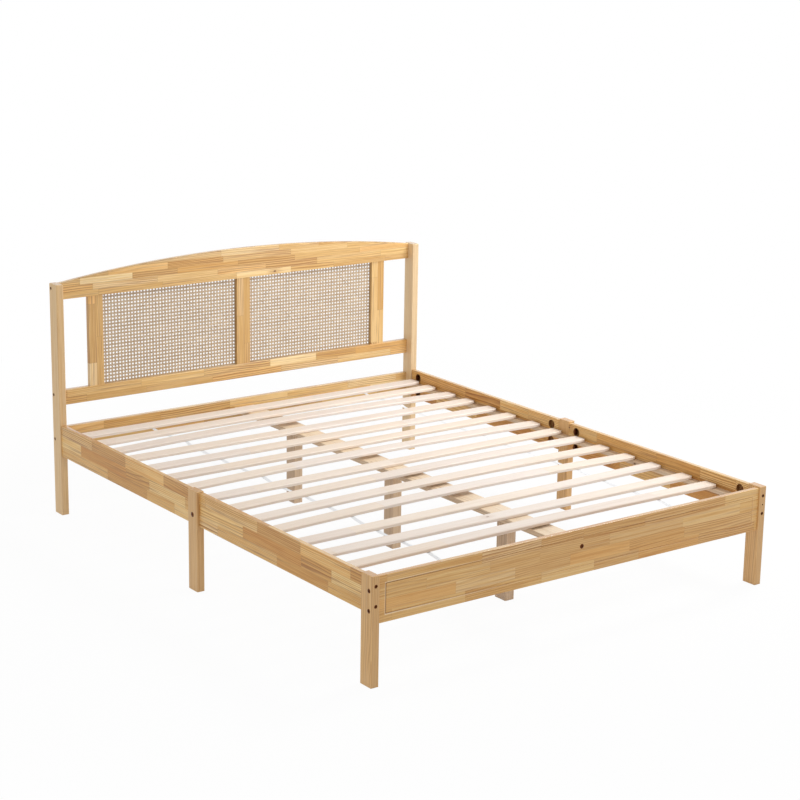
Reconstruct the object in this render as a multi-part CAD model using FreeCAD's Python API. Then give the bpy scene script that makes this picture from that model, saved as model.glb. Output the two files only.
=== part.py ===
import FreeCAD, Part
import math
import os

# A slatted pine double bed with an arched headboard and two cane panels.
# Millimetres. X runs across the bed, Y from foot to head, Z up from the floor.
# The origin lies on the floor under the middle of the bed.

# Overall plan
overall_length = 2080.0     # foot legs' foot face to headboard posts' back face
post_span = 1670.0          # across the outer faces of posts and foot legs

# Posts and legs: one section of stock, wide side along the bed
leg_thick = 29.0
leg_depth = 58.0
post_rise = 1.2             # posts' tops above the ends of the arched rail
leg_rise = 5.0              # other legs' tops above the rails' top edge
leg_ease = 3.0              # rounding of the long corners
top_bevel = 2.0             # sloped arris round the top of a leg

# Rails of the bed frame
rail_thick = 18.0
rail_top = 352.0            # top edge of side rails and foot rail above the floor
side_rail_height = 120.0
foot_rail_height = 152.0
foot_rail_setback = 7.5     # foot rail's face behind the foot legs' face
rail_ease = 2.5
line_margin = 27.0          # routed line on the foot rail, in from its edges
line_width = 4.0
line_depth = 2.0

# Headboard
board_thick = 22.0
board_setback = 34.0        # rails' front face behind the posts' front face
board_ease = 4.0
top_rail_under = 826.5      # straight lower edge of the arched rail
arch_end_height = 62.3      # depth of the arched rail where it meets a post
arch_rise = 57.7            # how far the middle of the arch stands above its ends
mid_rail_top = 478.0
mid_rail_height = 58.0
bottom_rail_top = 335.5
bottom_rail_height = 87.5
stile_width = 62.0
stile_thick = 18.0
stile_setback = 4.0         # stiles' front behind the rails' front
stile_inset = 121.0         # open gap between a post and the outer stile
stile_ease = 2.0
tenon_length = 12.0
tenon_thick = 8.0
tenon_shoulder = 10.0
tenon_gap = 0.15

# Cane panels: a flat net whose edge is tucked into a groove all round
cane_thick = 2.5
cane_setback = 13.0         # cane's front behind the stiles' front
cane_tuck = 6.0
groove_gap = 0.1            # slack on each face of the cane in its groove
groove_end_gap = 0.5        # slack at the groove's bottom
cane_columns = 12
cane_rows = 7
cane_strand = 14.0

# Slats, the strips that carry them and the ribbons that tie them
slat_count = 14
slat_width = 57.0
slat_thick = 12.0
slat_end_gap = 8.5          # slat's end to the side rail
slat_head_gap = 10.0        # first slat's back edge to the posts' front face
slat_foot_gap = 176.5       # foot rail's inner face to the last slat's front edge
slat_bevel = 2.5            # sloped arris along a slat's edges
slat_corner = 5.0           # cut-off corners at a slat's ends
slat_lift = 0.3             # hair's breadth under a resting slat
slat_offsets = [0, 16, 19, 36, 29, 33, 23, 25, 21, 16, 15, 8, -4, 0]
slat_crowns = [0, 2, 13, 0, 2, 1, 11, 0, 8, 8, 13, 0, 0, 7]
slat_skews = [0, 9, 0, -13, -12, 0, -7, 6, 13, 13, 4, 13, -14, 5]
ledger_drop = 49.5          # ledger's top below the rails' top edge
ledger_width = 28.0
ledger_height = 14.0
ledger_ease = 1.5
ribbon_width = 14.0
ribbon_thick = 1.0
ribbon_left_x = -472.0
ribbon_right_x = 525.0
ribbon_tail = 60.0
ribbon_droop = 8.0
ribbon_gap = 0.25

# Centre beam on three legs
beam_width = 90.0
beam_thick = 18.0
beam_bevel = 1.5
centre_leg_width = 38.0
centre_leg_depth = 58.0
centre_leg_pitch = 650.0
centre_leg_bevel = 2.0
stub_inset = 9.0            # shoulder round the stub on top of a centre leg
stub_height = 9.0
stub_gap = 0.15

# Bolts, their nuts and the bores for them
bar_sides = 6               # thin shanks and their bores are drawn with this many flats
head_sides = 12             # bolt heads and their sunk seats
pocket_sides = 24           # nut pockets and the nuts in them
bolt_head_r = 6.0
bolt_head_h = 2.5
bolt_head_sink = 0.8        # bolt's face below the wood
bolt_shank_r = 3.0
bore_gap = 0.25
bolt_spacing = 64.0         # between the two bolts of one rail end
pocket_r = 17.5             # round pocket on a side rail's inner face
pocket_depth = 14.0
pocket_inset = 44.0         # pocket's middle from the end of the rail
moon_thick = 10.0           # half-moon nut in a pocket
moon_height = 18.0
moon_gap = 0.15
moon_margin = 1.0
rod_end = 3.0               # thread that shows past a nut
end_bolt_reach = 43.0       # how far a bolt goes into the end of a board
top_bolt_rise = 45.0        # bolt above the arched rail's lower edge
mid_bolt_drop = 14.0        # bolt below the mid rail's top edge
cross_bolt_rise = 11.0      # mid leg's own bolt above the lower rod through the leg
cross_bolt_length = 20.0
cross_head_r = 8.0          # this bolt's head is wider than the others
pilot_r = 3.0               # small open hole between the right foot leg's bolts
pilot_depth = 12.0

# Planes that the pieces share
X_AXIS = FreeCAD.Vector(1, 0, 0)
Y_AXIS = FreeCAD.Vector(0, 1, 0)
Z_AXIS = FreeCAD.Vector(0, 0, 1)
post_height = top_rail_under + arch_end_height + post_rise
leg_height = rail_top + leg_rise
post_out = post_span / 2
post_in = post_out - leg_thick
rail_in = post_out - (leg_thick - rail_thick) / 2 - rail_thick
rail_out = rail_in + rail_thick
rail_mid = rail_in + rail_thick / 2
mid_leg_out = rail_in + leg_thick
y_head = overall_length / 2
y_foot = -overall_length / 2
post_front = y_head - leg_depth
leg_back = y_foot + leg_depth
mid_leg_half = leg_depth / 2
board_front = post_front + board_setback
board_back = board_front + board_thick
board_mid = board_front + board_thick / 2
foot_front = y_foot + foot_rail_setback
foot_back = foot_front + rail_thick
foot_mid = foot_front + rail_thick / 2
side_low = rail_top - side_rail_height
side_mid = rail_top - side_rail_height / 2
foot_low = rail_top - foot_rail_height
foot_mid_z = rail_top - foot_rail_height / 2
ledger_top = rail_top - ledger_drop
ledger_low = ledger_top - ledger_height
ledger_in = rail_in - ledger_width
beam_low = ledger_top - beam_thick
beam_mid_z = ledger_top - beam_thick / 2
stile_front = board_front + stile_setback
stile_out = post_in - stile_inset
stile_in = stile_out - stile_width
cane_front = stile_front + cane_setback
slat_half = rail_in - slat_end_gap
slat_seat = ledger_top + slat_lift
head_seat = bolt_head_h + bolt_head_sink
SIDES = {"left": -1, "right": 1}


def vec(x, y, z):
    return FreeCAD.Vector(x, y, z)


def block(x0, x1, y0, y1, z0, z1):
    """A straight board between two corners given in any order."""
    low = vec(min(x0, x1), min(y0, y1), min(z0, z1))
    return Part.makeBox(abs(x1 - x0), abs(y1 - y0), abs(z1 - z0), low)


def edges_along(shape, direction):
    """The straight edges of a shape that run along one direction."""
    found = []
    for edge in shape.Edges:
        if edge.Curve.TypeId == "Part::GeomLine":
            if abs(edge.tangentAt(edge.FirstParameter).dot(direction)) > 0.999:
                found.append(edge)
    return found


def eased(shape, radius, direction):
    """Round the long corners of a board."""
    return shape.makeFillet(radius, edges_along(shape, direction))


def face_at(shape, axis, value):
    """The flat face of a shape that lies at one level along an axis."""
    for face in shape.Faces:
        box = face.BoundBox
        low = (box.XMin, box.YMin, box.ZMin)[axis]
        high = (box.XMax, box.YMax, box.ZMax)[axis]
        if abs(low - value) < 1e-6 and abs(high - value) < 1e-6:
            return face
    return None


def leg_stock(x0, x1, y0, y1, height):
    """A post or leg standing on the floor, rounded at its corners and bevelled on top."""
    leg = eased(block(x0, x1, y0, y1, 0, height), leg_ease, Z_AXIS)
    return leg.makeChamfer(top_bevel, face_at(leg, 2, height).Edges)


def bar(radius, length, sides=bar_sides):
    """A thin bar along Z, drawn as a prism with a few flat sides."""
    angles = [2 * math.pi * k / sides for k in range(sides)]
    points = [vec(radius * math.cos(a), radius * math.sin(a), 0) for a in angles]
    return Part.Face(Part.makePolygon(points + points[:1])).extrude(Z_AXIS * length)


def aimed(shape, point, direction):
    """Turn a shape made along Z to point along a direction from a point."""
    shape.Placement = FreeCAD.Placement(point, FreeCAD.Rotation(Z_AXIS, direction))
    return shape


def joined(solids):
    return solids[0].fuse(solids[1:]).removeSplitter()


def bolt(line, head_r=bolt_head_r):
    """A flat-headed bolt: (point on the wood, direction in, length under the head)."""
    point, direction, length = line
    head = bar(head_r, bolt_head_h, head_sides)
    shank = bar(bolt_shank_r, bolt_head_h + length)
    return aimed(joined([head, shank]), point + direction * bolt_head_sink, direction)


def bolt_room(line, head_r=bolt_head_r):
    """The bore and the sunk seat that a bolt needs."""
    point, direction, length = line
    seat = bar(head_r + bore_gap, head_seat, head_sides)
    bore = bar(bolt_shank_r + bore_gap, head_seat + length + rod_end)
    return aimed(joined([seat, bore]), point, direction)


def headboard_bolts(side):
    """The three bolts through one post into the ends of the headboard rails."""
    levels = [
        top_rail_under + top_bolt_rise,
        mid_rail_top - mid_bolt_drop,
        bottom_rail_top - bottom_rail_height / 2,
    ]
    length = leg_thick - head_seat + end_bolt_reach
    way = X_AXIS * -side
    return [(vec(side * post_out, board_mid, z), way, length) for z in levels]


def side_levels():
    """Heights of the two bolts at each end of a side rail."""
    return [side_mid + bolt_spacing / 2, side_mid - bolt_spacing / 2]


def side_bolt_length():
    """From the seat in a leg to the far side of the nut in the rail's pocket."""
    reach = pocket_inset - pocket_r + moon_thick + rod_end
    return leg_depth - head_seat + reach


def head_side_bolts(side):
    """Bolts from the back of a post into the head end of a side rail."""
    start = vec(side * rail_mid, y_head, 0)
    length = side_bolt_length()
    return [(start + Z_AXIS * z, Y_AXIS * -1, length) for z in side_levels()]


def foot_side_bolts(side):
    """Bolts from the foot face of a foot leg into the foot end of a side rail."""
    start = vec(side * rail_mid, y_foot, 0)
    length = side_bolt_length()
    return [(start + Z_AXIS * z, Y_AXIS, length) for z in side_levels()]


def foot_rail_bolts(side):
    """Bolts from the outer face of a foot leg into the end of the foot rail."""
    length = leg_thick - head_seat + end_bolt_reach
    levels = [foot_mid_z + bolt_spacing / 2, foot_mid_z - bolt_spacing / 2]
    way = X_AXIS * -side
    return [(vec(side * post_out, foot_mid, z), way, length) for z in levels]


def cross_bolt(side):
    """The single bolt on the outer face of a mid leg."""
    point = vec(side * mid_leg_out, 0, min(side_levels()) + cross_bolt_rise)
    return (point, X_AXIS * -side, cross_bolt_length)


def beam_bolts():
    """Bolts through the foot rail and the headboard's bottom rail into the beam."""
    foot_length = rail_thick - head_seat + end_bolt_reach
    head_length = board_thick - head_seat + end_bolt_reach
    return [
        (vec(0, foot_front, beam_mid_z), Y_AXIS, foot_length),
        (vec(0, board_back, beam_mid_z), Y_AXIS * -1, head_length),
    ]


def headboard_post(side):
    post = leg_stock(side * post_in, side * post_out, post_front, y_head, post_height)
    rooms = [bolt_room(line) for line in headboard_bolts(side) + head_side_bolts(side)]
    return post.cut(rooms)


def foot_leg(side):
    leg = leg_stock(side * post_in, side * post_out, y_foot, leg_back, leg_height)
    rooms = [bolt_room(line) for line in foot_rail_bolts(side) + foot_side_bolts(side)]
    if side > 0:
        rooms.append(aimed(bar(pilot_r, pilot_depth), vec(rail_mid, y_foot, side_mid), Y_AXIS))
    return leg.cut(rooms)


def mid_rod(side, z, gap):
    """A threaded rod through a mid leg that pulls both half rails against it, or its bore."""
    reach = mid_leg_half + pocket_inset - pocket_r + moon_thick + rod_end
    return aimed(bar(bolt_shank_r + gap, 2 * reach), vec(side * rail_mid, -reach, z), Y_AXIS)


def mid_rod_rooms(side):
    return [mid_rod(side, z, bore_gap) for z in side_levels()]


def mid_leg(side):
    """A leg between the two halves of a side rail, flush with them on the inside."""
    leg = leg_stock(side * rail_in, side * mid_leg_out, -mid_leg_half, mid_leg_half, leg_height)
    return leg.cut([bolt_room(cross_bolt(side), cross_head_r)] + mid_rod_rooms(side))


def half_rail_span(half):
    """Foot end and head end of one half of a side rail."""
    if half == "head":
        return mid_leg_half, post_front
    return leg_back, -mid_leg_half


def pocket_spots(half):
    """Middles of a half rail's four nut pockets and the way to the leg beside each."""
    y0, y1 = half_rail_span(half)
    spots = []
    for z in side_levels():
        spots.append((y0 + pocket_inset, z, -1))
        spots.append((y1 - pocket_inset, z, 1))
    return spots


def side_rail(side, half):
    """One half of a side rail between two legs, with its nut pockets and bolt bores."""
    y0, y1 = half_rail_span(half)
    rail = block(side * rail_in, side * rail_out, y0, y1, side_low, rail_top)
    rail = eased(rail, rail_ease, Y_AXIS)
    lines = head_side_bolts(side) if half == "head" else foot_side_bolts(side)
    rooms = [bolt_room(line) for line in lines] + mid_rod_rooms(side)
    for y, z, way in pocket_spots(half):
        mouth = vec(side * rail_in, y, z)
        rooms.append(aimed(bar(pocket_r, pocket_depth, pocket_sides), mouth, X_AXIS * side))
    return rail.cut(rooms)


def half_moon_nut(side, y, z, way):
    """A half-moon nut: round against the wall of its pocket, flat behind."""
    depth = pocket_depth - 2 * moon_margin
    start = vec(side * (rail_in + moon_margin), y, z)
    disc = aimed(bar(pocket_r - moon_gap, depth, pocket_sides), start, X_AXIS * side)
    flat = y + way * (pocket_r - moon_thick)
    half = moon_height / 2
    inner = side * rail_in
    outer = side * (rail_in + pocket_depth)
    slab = block(inner, outer, flat, y + way * pocket_r, z - half, z + half)
    hole = aimed(bar(bolt_shank_r + moon_gap, pocket_r), vec(side * rail_mid, flat, z), Y_AXIS * way)
    return disc.common(slab).cut(hole)


def routed_line():
    """A vee-shaped line round the face of the foot rail, as a ring to cut away."""
    half = line_width / 2
    wide = post_in - line_margin
    low = foot_low + line_margin
    high = rail_top - line_margin

    def ring(grow, depth):
        y = foot_front + depth
        x = wide + grow
        points = [(-x, low - grow), (x, low - grow), (x, high + grow), (-x, high + grow)]
        points.append(points[0])
        return Part.makePolygon([vec(px, y, pz) for px, pz in points])

    outer = Part.makeLoft([ring(half, 0), ring(0, line_depth)], True, True)
    inner = Part.makeLoft([ring(-half, 0), ring(0, line_depth)], True, True)
    return outer.cut(inner)


def foot_rail():
    rail = block(-post_in, post_in, foot_front, foot_back, foot_low, rail_top)
    rail = eased(rail, rail_ease, X_AXIS)
    rooms = [bolt_room(line) for side in SIDES.values() for line in foot_rail_bolts(side)]
    rooms.append(bolt_room(beam_bolts()[0]))
    return rail.cut(rooms + [routed_line()])


def stile_spans():
    """Left and right edge of each stile."""
    half = stile_width / 2
    return {"left": (-stile_out, -stile_in), "centre": (-half, half), "right": (stile_in, stile_out)}


def panel_spans():
    """Left and right edge of each open field between stiles."""
    half = stile_width / 2
    return {"left": (-stile_in, -half), "right": (half, stile_in)}


def tenon(x0, x1, z0, z1, gap):
    """The tongue at the end of a stile, or with a gap the slot that takes it."""
    y_mid = stile_front + tenon_thick / 2 + tenon_gap
    half = tenon_thick / 2 + gap
    left = x0 + tenon_shoulder - gap
    right = x1 - tenon_shoulder + gap
    return block(left, right, y_mid - half, y_mid + half, z0, z1)


def cane_sheet(name, gap, end_gap):
    """The space of a cane panel with its tucked-in edges, or with gaps the groove for it."""
    x0, x1 = panel_spans()[name]
    reach = cane_tuck + end_gap
    y0 = cane_front - gap
    y1 = cane_front + cane_thick + gap
    return block(x0 - reach, x1 + reach, y0, y1, mid_rail_top - reach, top_rail_under + reach)


def cane_grooves():
    return [cane_sheet(name, groove_gap, groove_end_gap) for name in panel_spans()]


def headboard_slots():
    """All the slots and grooves that stiles and cane need in the two rails around them."""
    rooms = cane_grooves()
    low = mid_rail_top - tenon_length - tenon_gap
    high = top_rail_under + tenon_length + tenon_gap
    for x0, x1 in stile_spans().values():
        rooms.append(tenon(x0, x1, low, mid_rail_top, tenon_gap))
        rooms.append(tenon(x0, x1, top_rail_under, high, tenon_gap))
    return rooms


def board_bolt_rooms(index):
    return [bolt_room(headboard_bolts(side)[index]) for side in SIDES.values()]


def top_rail():
    """The arched rail: straight below, one long arc above."""
    end = top_rail_under + arch_end_height
    corners = [
        vec(-post_in, board_front, end),
        vec(-post_in, board_front, top_rail_under),
        vec(post_in, board_front, top_rail_under),
        vec(post_in, board_front, end),
    ]
    crest = vec(0, board_front, end + arch_rise)
    outline = Part.makePolygon(corners).Edges
    outline.append(Part.Arc(corners[3], crest, corners[0]).toShape())
    rail = Part.Face(Part.Wire(outline)).extrude(Y_AXIS * board_thick)
    arcs = [e for e in rail.Edges if e.Curve.TypeId == "Part::GeomCircle"]
    rail = rail.makeFillet(board_ease, arcs)
    return rail.cut(headboard_slots() + board_bolt_rooms(0))


def mid_rail():
    low = mid_rail_top - mid_rail_height
    rail = block(-post_in, post_in, board_front, board_back, low, mid_rail_top)
    front_edges = [e for e in edges_along(rail, X_AXIS) if abs(e.CenterOfMass.y - board_front) < 1e-6]
    rail = rail.makeFillet(min(board_ease, stile_setback), front_edges)
    return rail.cut(headboard_slots() + board_bolt_rooms(1))


def bottom_rail():
    low = bottom_rail_top - bottom_rail_height
    rail = block(-post_in, post_in, board_front, board_back, low, bottom_rail_top)
    rail = eased(rail, rail_ease, X_AXIS)
    rooms = board_bolt_rooms(2)
    rooms.append(bolt_room(beam_bolts()[1]))
    return rail.cut(rooms)


def stile(name):
    """A stile with a tongue at both ends and grooves where cane runs into it."""
    x0, x1 = stile_spans()[name]
    body = block(x0, x1, stile_front, stile_front + stile_thick, mid_rail_top, top_rail_under)
    front_edges = [e for e in edges_along(body, Z_AXIS) if abs(e.CenterOfMass.y - stile_front) < 1e-6]
    body = body.makeFillet(stile_ease, front_edges)
    low = tenon(x0, x1, mid_rail_top - tenon_length, mid_rail_top, 0)
    high = tenon(x0, x1, top_rail_under, top_rail_under + tenon_length, 0)
    body = joined([body, low, high])
    return body.cut(cane_grooves())


def cane_panel(name):
    """One flat net: a tucked-in border, and rows of square gaps between the strands."""
    x0, x1 = panel_spans()[name]
    sheet = cane_sheet(name, 0, 0).BoundBox
    pitch_x = (x1 - x0) / cane_columns
    pitch_z = (top_rail_under - mid_rail_top) / cane_rows

    def outline(left, right, low, high):
        points = [(left, low), (right, low), (right, high), (left, high), (left, low)]
        return Part.makePolygon([vec(x, cane_front, z) for x, z in points])

    face = Part.Face(outline(sheet.XMin, sheet.XMax, sheet.ZMin, sheet.ZMax))
    half = cane_strand / 2
    gaps = []
    for column in range(cane_columns):
        for row in range(cane_rows):
            left = x0 + column * pitch_x + half
            low = mid_rail_top + row * pitch_z + half
            gap = outline(left, left + pitch_x - cane_strand, low, low + pitch_z - cane_strand)
            gaps.append(Part.Face(gap))
    net = face.cut(Part.makeCompound(gaps))
    return net.Faces[0].extrude(Y_AXIS * cane_thick)


def ledger(side):
    """One long strip on the inside of a side rail, past the mid leg, for the slats' ends."""
    strip = block(side * ledger_in, side * rail_in, leg_back, post_front, ledger_low, ledger_top)
    inner = [e for e in edges_along(strip, Y_AXIS) if abs(abs(e.CenterOfMass.x) - ledger_in) < 1e-6]
    return strip.makeFillet(ledger_ease, inner)


def leg_stub(y, gap):
    """The stub on a centre leg that stands in the beam, or with a gap its mortise."""
    half_x = centre_leg_width / 2 - stub_inset + gap
    half_y = centre_leg_depth / 2 - stub_inset + gap
    return block(-half_x, half_x, y - half_y, y + half_y, beam_low, beam_low + stub_height + gap)


def centre_leg_places():
    """Middles of the three centre legs along the bed."""
    return [-centre_leg_pitch, 0.0, centre_leg_pitch]


def centre_beam():
    half = beam_width / 2
    beam = block(-half, half, foot_back, board_front, beam_low, ledger_top)
    beam = beam.makeChamfer(beam_bevel, edges_along(beam, Y_AXIS))
    rooms = [bolt_room(line) for line in beam_bolts()]
    return beam.cut(rooms + [leg_stub(y, stub_gap) for y in centre_leg_places()])


def centre_leg(y):
    half_x = centre_leg_width / 2
    half_y = centre_leg_depth / 2
    leg = block(-half_x, half_x, y - half_y, y + half_y, 0, beam_low)
    leg = leg.makeChamfer(centre_leg_bevel, edges_along(leg, Z_AXIS))
    return joined([leg, leg_stub(y, 0)])


def slat_front(index):
    """Front edge of a slat, counted from the head, at its middle."""
    first = post_front - slat_head_gap - slat_width
    last = foot_back + slat_foot_gap
    step = (first - last) / (slat_count - 1)
    return first - index * step + slat_offsets[index % len(slat_offsets)]


def slat_crown(index):
    return slat_crowns[index % len(slat_crowns)]


def slat_turn(index):
    """How far a slat lies askew, in degrees."""
    return math.degrees(math.atan2(slat_skews[index % len(slat_skews)], 2 * slat_half))


def slat(index):
    """A slat that lies straight or stands crowned in the middle, with its arrises taken off."""
    y = slat_front(index)
    crown = slat_crown(index)
    if crown == 0:
        body = block(-slat_half, slat_half, y, y + slat_width, slat_seat, slat_seat + slat_thick)
    else:
        low = [vec(x, y, slat_seat + (crown if x == 0 else 0)) for x in (-slat_half, 0, slat_half)]
        high = [p + Z_AXIS * slat_thick for p in low]
        outline = [
            Part.Arc(*low).toShape(),
            Part.makeLine(low[2], high[2]),
            Part.Arc(*reversed(high)).toShape(),
            Part.makeLine(high[0], low[0]),
        ]
        body = Part.Face(Part.Wire(outline)).extrude(Y_AXIS * slat_width)
    body = body.makeChamfer(slat_corner, edges_along(body, Z_AXIS))
    long_edges = [e for e in body.Edges if e.Length > slat_half]
    body = body.makeChamfer(slat_bevel, long_edges)
    body.rotate(vec(0, y + slat_width / 2, 0), Z_AXIS, slat_turn(index))
    return body


def slat_underside(index, x):
    """Height of a slat's underside at a place across the bed."""
    crown = slat_crown(index)
    if crown == 0:
        return slat_seat
    radius = (slat_half ** 2 + crown ** 2) / (2 * crown)
    return slat_seat + crown - radius + math.sqrt(radius ** 2 - x ** 2)


def slat_ribbon(x):
    """A tape under all the slats that follows their undersides from head to foot."""
    far = abs(x) + ribbon_width / 2
    top = []
    for index in range(slat_count):
        y = slat_front(index) + x * math.tan(math.radians(slat_turn(index)))
        z = slat_underside(index, far) - ribbon_gap
        top.append((y + slat_width - slat_bevel, z))
        top.append((y + slat_bevel, z))
    end_y, end_z = top[-1]
    top.append((end_y - ribbon_tail, end_z - ribbon_droop))
    under = [(y, z - ribbon_thick) for y, z in reversed(top)]
    points = [vec(x - ribbon_width / 2, y, z) for y, z in top + under + top[:1]]
    return Part.Face(Part.makePolygon(points)).extrude(X_AXIS * ribbon_width)


def bolt_group(lines, head_r=bolt_head_r):
    return Part.makeCompound([bolt(line, head_r) for line in lines])


def both_sides(lines_for):
    return [line for side in SIDES.values() for line in lines_for(side)]


def all_half_moons():
    nuts = []
    for side in SIDES.values():
        for half in ("head", "foot"):
            nuts += [half_moon_nut(side, *spot) for spot in pocket_spots(half)]
    return Part.makeCompound(nuts)


def build():
    pieces = {}
    for name, side in SIDES.items():
        pieces["headboard_post_" + name] = headboard_post(side)
        pieces["foot_leg_" + name] = foot_leg(side)
        pieces["mid_leg_" + name] = mid_leg(side)
        pieces["side_rail_" + name + "_head"] = side_rail(side, "head")
        pieces["side_rail_" + name + "_foot"] = side_rail(side, "foot")
        pieces["slat_ledger_" + name] = ledger(side)
        pieces["cane_panel_" + name] = cane_panel(name)
    pieces["headboard_top_rail"] = top_rail()
    pieces["headboard_mid_rail"] = mid_rail()
    pieces["headboard_bottom_rail"] = bottom_rail()
    for name in stile_spans():
        pieces["headboard_stile_" + name] = stile(name)
    pieces["foot_rail"] = foot_rail()
    pieces["centre_beam"] = centre_beam()
    for number, y in enumerate(centre_leg_places(), 1):
        pieces["centre_leg_%d" % number] = centre_leg(y)
    for index in range(slat_count):
        pieces["slat_%02d" % (index + 1)] = slat(index)
    pieces["slat_ribbon_left"] = slat_ribbon(ribbon_left_x)
    pieces["slat_ribbon_right"] = slat_ribbon(ribbon_right_x)
    pieces["headboard_bolts"] = bolt_group(both_sides(headboard_bolts))
    pieces["side_rail_bolts_head"] = bolt_group(both_sides(head_side_bolts))
    pieces["side_rail_bolts_foot"] = bolt_group(both_sides(foot_side_bolts))
    pieces["foot_rail_bolts"] = bolt_group(both_sides(foot_rail_bolts))
    cross_bolts = [cross_bolt(side) for side in SIDES.values()]
    pieces["mid_leg_cross_bolts"] = bolt_group(cross_bolts, cross_head_r)
    pieces["beam_bolts"] = bolt_group(beam_bolts())
    rods = [mid_rod(side, z, 0) for side in SIDES.values() for z in side_levels()]
    pieces["mid_leg_rods"] = Part.makeCompound(rods)
    pieces["half_moon_nuts"] = all_half_moons()
    return pieces


os.makedirs("parts", exist_ok=True)
for node, shape in build().items():
    print(node, len(shape.Solids), "solids,", round(shape.Volume / 1000), "cm3, valid", shape.isValid())
    shape.exportStep("parts/" + node + ".step")
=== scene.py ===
# %% [markdown]
# A slatted pine bed with a cane headboard, dressed for its picture.
# The joinery comes ready-made from the CAD frame: posts, rails, slats, bores and pockets are all real
# solids, so here they only get their wood. What CAD leaves plain is made below: the woven cane,
# the tapes under the slats, the turned bolt heads and the ledger screws.

# %% Load the frame
import math
import bmesh
import bpy
from mathutils import Matrix, Vector


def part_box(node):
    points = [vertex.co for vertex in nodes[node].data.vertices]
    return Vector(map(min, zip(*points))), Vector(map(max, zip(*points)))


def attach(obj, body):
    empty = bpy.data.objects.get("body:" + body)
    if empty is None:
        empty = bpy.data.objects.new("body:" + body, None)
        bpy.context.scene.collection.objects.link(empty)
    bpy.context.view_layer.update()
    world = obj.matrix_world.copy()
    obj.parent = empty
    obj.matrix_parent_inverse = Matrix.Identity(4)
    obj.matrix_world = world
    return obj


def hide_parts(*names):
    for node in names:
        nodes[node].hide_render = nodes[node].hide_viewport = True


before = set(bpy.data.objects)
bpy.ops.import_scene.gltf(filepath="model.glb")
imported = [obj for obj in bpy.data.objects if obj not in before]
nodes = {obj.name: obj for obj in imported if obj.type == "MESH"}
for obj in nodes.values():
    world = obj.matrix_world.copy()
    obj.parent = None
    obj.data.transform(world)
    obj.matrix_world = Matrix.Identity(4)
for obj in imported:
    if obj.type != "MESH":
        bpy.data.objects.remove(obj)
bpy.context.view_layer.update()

# %% [markdown]
# A finish is a small sum: so much ring, so much fibre, less along a glue line. Blender does such sums
# with Math nodes. Drawing dozens of them by hand is slow to read, so one class wraps a socket and turns
# Python's own operators into those nodes. Everything else, a noise or a shader, comes from one method.

# %% Sums that become nodes
def either_way(operation):
    """An operator that adds a Math node, and its form for a plain number on the left."""
    def forward(wire, other):
        return wire.sum(operation, wire, other)

    def reflected(wire, other):
        return wire.sum(operation, other, wire)
    return forward, reflected


class Wire:
    """An output socket of a finish; sums on it add Math nodes to that finish."""

    def __init__(self, tree, socket=None):
        self.tree = tree
        self.socket = socket

    def node(self, kind, settings=None, sockets=None, out=0):
        """Add a node: settings first, then values or links; out names one output or several."""
        made = self.tree.nodes.new("ShaderNode" + kind)
        for name, value in (settings or {}).items():
            if name == "stops":
                set_stops(made.color_ramp, value)
            else:
                setattr(made, name, value)
        for key, value in (sockets or {}).items():
            if isinstance(value, Wire):
                self.tree.links.new(value.socket, made.inputs[key])
            else:
                made.inputs[key].default_value = value
        if isinstance(out, tuple):
            return [Wire(self.tree, made.outputs[one]) for one in out]
        return Wire(self.tree, made.outputs[out]) if len(made.outputs) else None

    def sum(self, operation, first, second=0.0):
        """A Math node on two values."""
        return self.node("Math", {"operation": operation}, {0: first, 1: second})

    __add__, __radd__ = either_way("ADD")
    __sub__, __rsub__ = either_way("SUBTRACT")
    __mul__, __rmul__ = either_way("MULTIPLY")
    __truediv__, __rtruediv__ = either_way("DIVIDE")
    __pow__, __rpow__ = either_way("POWER")
    __gt__, __lt__ = either_way("GREATER_THAN")

    def __abs__(self):
        return self.sum("ABSOLUTE", self)

    def whole(self):
        return self.sum("FLOOR", self)

    def part(self):
        return self.sum("FRACT", self)

    def wave(self):
        """A sine with one wave to each whole number."""
        return self.sum("SINE", self * (2 * math.pi))

    def larger(self, other):
        return self.sum("MAXIMUM", self, other)

    def ease(self, start, end):
        """0 at start and 1 at end, smooth between."""
        ends = {"From Min": start, "From Max": end}
        return self.node("MapRange", {"interpolation_type": "SMOOTHSTEP"}, {"Value": self, **ends})

    def by_axis(self):
        """The three parts of a vector, under the names of their axes."""
        return dict(zip("XYZ", self.node("SeparateXYZ", {}, {0: self}, out=(0, 1, 2))))


def set_stops(ramp, stops):
    """Put a ramp's colours at their places."""
    while len(ramp.elements) < len(stops):
        ramp.elements.new(1.0)
    for element, (place, colour) in zip(ramp.elements, stops):
        element.position = place
        element.color = colour


print("sums are ready:", [m for m in dir(Wire) if not m.startswith("_")])

# %% [markdown]
# A few small helpers serve every finish. A colour is written as a paint chart writes it and turned into
# the light values that nodes use. Two colours are mixed by an amount. A finish starts empty and ends in the
# surface shader, with its relief given in metres, so that grain stays as shallow as it is on real wood.

# %% Colours and the end of a finish
def paint(red, green, blue):
    """A colour as a paint chart writes it, 0 to 255, in the light values that nodes use."""
    def light(value):
        value /= 255
        return value / 12.92 if value <= 0.04045 else ((value + 0.055) / 1.055) ** 2.4
    return (light(red), light(green), light(blue), 1.0)


def mixed(amount, first, second, blend="MIX"):
    """Two colours mixed by an amount."""
    wire = next(w for w in (amount, first, second) if isinstance(w, Wire))
    settings = {"data_type": "RGBA", "blend_type": blend}
    return wire.node("Mix", settings, {0: amount, 6: first, 7: second}, out=2)


def new_finish(name):
    """An empty material, and a wire to start its nodes from."""
    material = bpy.data.materials.new(name)
    material.use_nodes = True
    material.node_tree.nodes.clear()
    return material, Wire(material.node_tree)


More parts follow.
